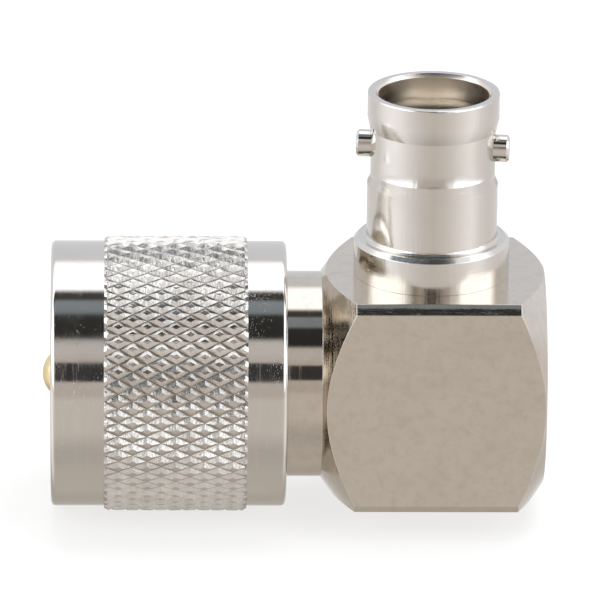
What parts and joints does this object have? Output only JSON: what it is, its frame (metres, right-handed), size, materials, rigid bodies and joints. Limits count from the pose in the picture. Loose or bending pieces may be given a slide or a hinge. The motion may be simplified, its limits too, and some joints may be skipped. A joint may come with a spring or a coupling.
{
  "type": "right-angle bnc to uhf adapter",
  "caption": "Right-angle coaxial adapter: bayonet jack on a square body, screw-on plug with a knurled coupling nut that spins and slides.",
  "frame": {"origin": "on the plug's axis at the front end of its inner sleeve, the plug's reference plane", "axes": "-X out of the plug along its centre pin, +Z along the jack out of its mouth, Y across the square body"},
  "size_m": [0.037, 0.0204, 0.0321],
  "materials": {
    "satin_nickel": "nickel plated over brass, fine satin",
    "bright_nickel": "nickel plated over brass, bright turned",
    "gold_plate": "gold plated over brass, polished",
    "spring_wire": "spring steel, plain",
    "white_insulator": "white fluoropolymer, smooth"
  },
  "bodies": {
    "adapter_body": {"block_body": "satin_nickel", "closure_cap": "satin_nickel", "plug_sleeve": "bright_nickel", "plug_insulator": "white_insulator", "centre_pin": "gold_plate", "elbow_insulator": "white_insulator", "jack_shell": "bright_nickel", "lug_left": "bright_nickel", "lug_right": "bright_nickel", "jack_insulator": "white_insulator", "jack_contact": "gold_plate"},
    "ring": {"retaining_ring": "spring_wire"},
    "nut": {"coupling_nut": "bright_nickel"}
  },
  "joints": [
    {"name": "nut_slide", "type": "slide", "parent": "adapter_body", "child": "ring", "axis": [1, 0, 0], "range_m": [-0.00045, 0.00175]},
    {"name": "nut_spin", "type": "hinge", "parent": "ring", "child": "nut", "pos_m": [0.0038, 0, 0], "axis": [1, 0, 0], "continuous": true}
  ]
}
